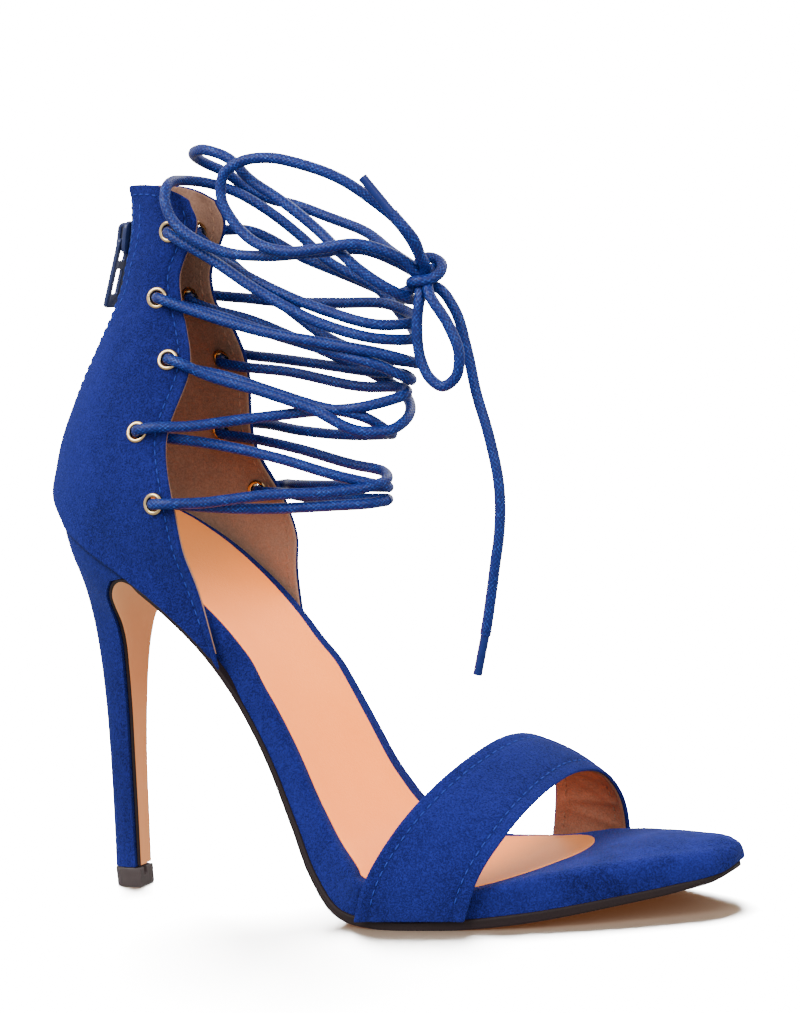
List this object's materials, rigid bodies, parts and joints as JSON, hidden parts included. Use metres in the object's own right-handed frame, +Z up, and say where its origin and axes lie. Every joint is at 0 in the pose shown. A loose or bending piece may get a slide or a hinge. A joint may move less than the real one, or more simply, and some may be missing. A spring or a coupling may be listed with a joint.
{
  "type": "lace-up open-toe stiletto sandal",
  "caption": "Open-toe stiletto sandal with a toe strap, closed heel, back zip and a cord laced round the ankle; right shoe, standing empty on its sole.",
  "frame": {"origin": "middle of the flat tread under the ball of the foot, on the ground plane", "axes": "+X to the toe, +Y to the inner (medial) side of this right shoe, +Z up"},
  "size_m": [0.2024, 0.0799, 0.2172],
  "materials": {
    "outsole": "smooth resin, dark edge",
    "heel_tip": "matt hard rubber",
    "suede": "napped suede",
    "sock": "smooth synthetic leather",
    "eyelet": "pale polished",
    "zip_tape": "woven tape with moulded teeth",
    "painted_metal": "glossy paint",
    "waxed_cord": "waxed braid",
    "aglet": "glossy sleeve"
  },
  "bodies": {
    "shoe": {"outsole": "outsole", "heel": "suede", "heel_tip": "heel_tip", "footbed": "suede", "sock": "sock", "quarters": "suede", "toe_strap": "suede", "eyelet_lateral_1": "eyelet", "eyelet_lateral_2": "eyelet", "eyelet_lateral_3": "eyelet", "eyelet_lateral_4": "eyelet", "eyelet_lateral_5": "eyelet", "eyelet_medial_1": "eyelet", "eyelet_medial_2": "eyelet", "eyelet_medial_3": "eyelet", "eyelet_medial_4": "eyelet", "eyelet_medial_5": "eyelet", "zip_chain": "zip_tape", "zip_slider": "painted_metal", "lace_bar_5": "waxed_cord", "lace_cross_5": "waxed_cord", "lace_cross_4": "waxed_cord", "lace_cross_3": "waxed_cord", "lace_cross_2": "waxed_cord", "lace_turn_outer": "waxed_cord", "lace_turn_inner": "waxed_cord", "lace_knot": "waxed_cord", "lace_loop_big": "waxed_cord", "lace_loop_small": "waxed_cord", "lace_end_short": "waxed_cord", "lace_end_long": "waxed_cord", "aglet_short": "aglet", "aglet_long": "aglet"},
    "zip_pull": {"zip_pull": "painted_metal"}
  },
  "joints": [
    {"name": "zip_pull_hinge", "type": "hinge", "parent": "shoe", "child": "zip_pull", "pos_m": [-0.09331, 0, 0.19319], "axis": [0, 1, 0], "range_deg": [0, 120]}
  ]
}
